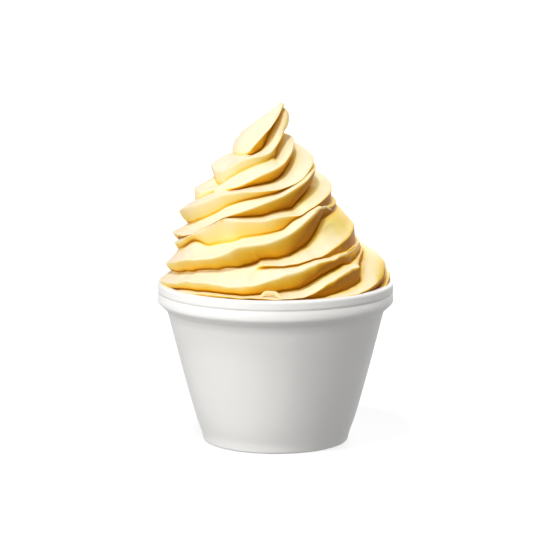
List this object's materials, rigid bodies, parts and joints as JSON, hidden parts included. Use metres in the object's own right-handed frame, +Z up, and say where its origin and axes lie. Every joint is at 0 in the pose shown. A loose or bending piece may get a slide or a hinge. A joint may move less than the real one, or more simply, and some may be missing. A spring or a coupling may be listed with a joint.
{
  "type": "frozen yogurt cup",
  "caption": "Round tapered foam cup with a rolled rim, filled with a tall star-piped swirl of frozen yogurt that ends in a bent tip.",
  "frame": {"origin": "centre of the cup's foot, on the surface that it stands on", "axes": "+Z up along the cup's axis, -Y towards the shown front, +X to the viewer's right; the swirl rises towards +X across the front"},
  "size_m": [0.105, 0.105, 0.152],
  "materials": {
    "foam": "smooth white moulded foam, satin",
    "yogurt": "pale yellow soft frozen yogurt, smooth and slightly moist"
  },
  "bodies": {
    "root": {"cup": "foam", "frozen_yogurt": "yogurt"}
  },
  "joints": []
}
